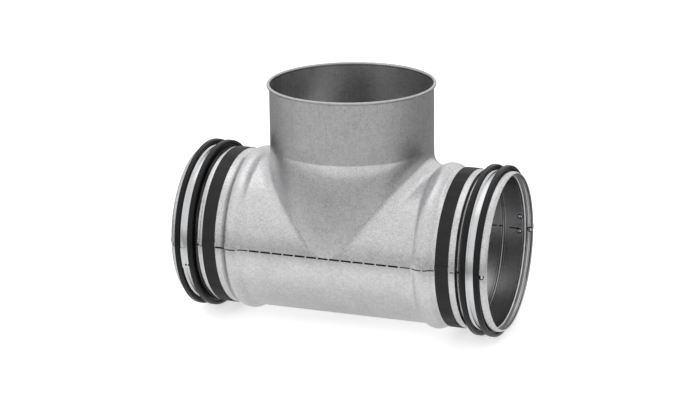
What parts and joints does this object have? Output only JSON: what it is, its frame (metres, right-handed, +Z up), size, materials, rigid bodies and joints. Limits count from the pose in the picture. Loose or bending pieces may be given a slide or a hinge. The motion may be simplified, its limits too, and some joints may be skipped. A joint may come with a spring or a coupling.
{
  "type": "duct tee",
  "caption": "Pressed sheet-steel ventilation duct tee: gasketed male spigots on the run and a plain rolled-rim collar drawn out of its upper shell for the branch.",
  "frame": {"origin": "the point where the axis of the through duct crosses the axis of the branch", "axes": "+X along the through duct towards its right mouth, +Z up the branch, -Y is the front"},
  "size_m": [0.2076, 0.1068, 0.1536],
  "materials": {
    "galvanised_sheet": "bright galvanised, fine matte spangle",
    "weld_metal": "heat-darkened weld metal",
    "strap_steel": "bright rolled strip",
    "gasket_rubber": "smooth black EPDM",
    "band_film": "matte dark film"
  },
  "bodies": {
    "root": {"upper_shell": "galvanised_sheet", "lower_shell": "galvanised_sheet", "seam_welds_front": "weld_metal", "seam_welds_back": "weld_metal", "gasket_left": "gasket_rubber", "gasket_right": "gasket_rubber", "strap_left": "strap_steel", "strap_right": "strap_steel", "marker_band_left": "band_film", "marker_band_right": "band_film"}
  },
  "joints": []
}
